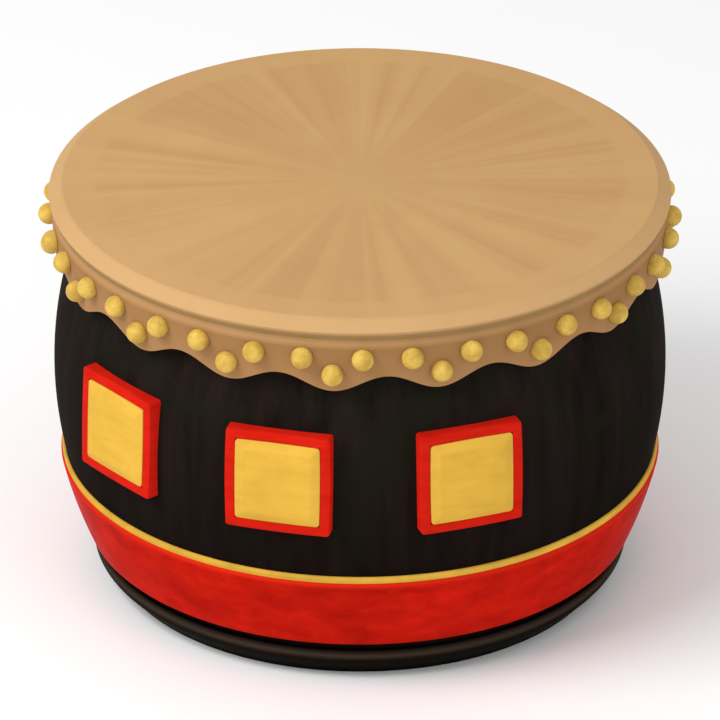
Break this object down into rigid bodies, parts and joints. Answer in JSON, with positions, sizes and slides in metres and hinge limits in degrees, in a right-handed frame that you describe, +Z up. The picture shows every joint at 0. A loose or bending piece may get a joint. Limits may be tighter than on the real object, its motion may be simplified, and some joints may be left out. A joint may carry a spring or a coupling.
{
  "type": "barrel drum",
  "caption": "Low barrel drum of bent lacquered staves with a tacked scalloped hide head, red band, gold hoop, foot ring and raised gilt panels.",
  "frame": {"origin": "on the floor, at the middle of the foot ring", "axes": "+Z up along the drum's axis, -Y towards the front, +X to the right seen from the front"},
  "size_m": [0.5176, 0.5176, 0.34],
  "materials": {
    "black_lacquer": "satin black lacquer",
    "foot_lacquer": "satin black lacquer",
    "rawhide": "dry scraped hide",
    "gold_paint": "gold paint",
    "red_lacquer": "brushed red lacquer",
    "frame_red": "red lacquer",
    "tablet_gold": "gold paint"
  },
  "bodies": {
    "root": {"stave_01": "black_lacquer", "stave_02": "black_lacquer", "stave_03": "black_lacquer", "stave_04": "black_lacquer", "stave_05": "black_lacquer", "stave_06": "black_lacquer", "stave_07": "black_lacquer", "stave_08": "black_lacquer", "stave_09": "black_lacquer", "stave_10": "black_lacquer", "stave_11": "black_lacquer", "stave_12": "black_lacquer", "stave_13": "black_lacquer", "stave_14": "black_lacquer", "stave_15": "black_lacquer", "stave_16": "black_lacquer", "stave_17": "black_lacquer", "stave_18": "black_lacquer", "drum_skin": "rawhide", "gold_hoop": "gold_paint", "red_band": "red_lacquer", "foot_ring": "foot_lacquer", "panel_frame_1": "frame_red", "panel_frame_2": "frame_red", "panel_frame_3": "frame_red", "gold_tablet_1": "tablet_gold", "gold_tablet_2": "tablet_gold", "gold_tablet_3": "tablet_gold"}
  },
  "joints": []
}
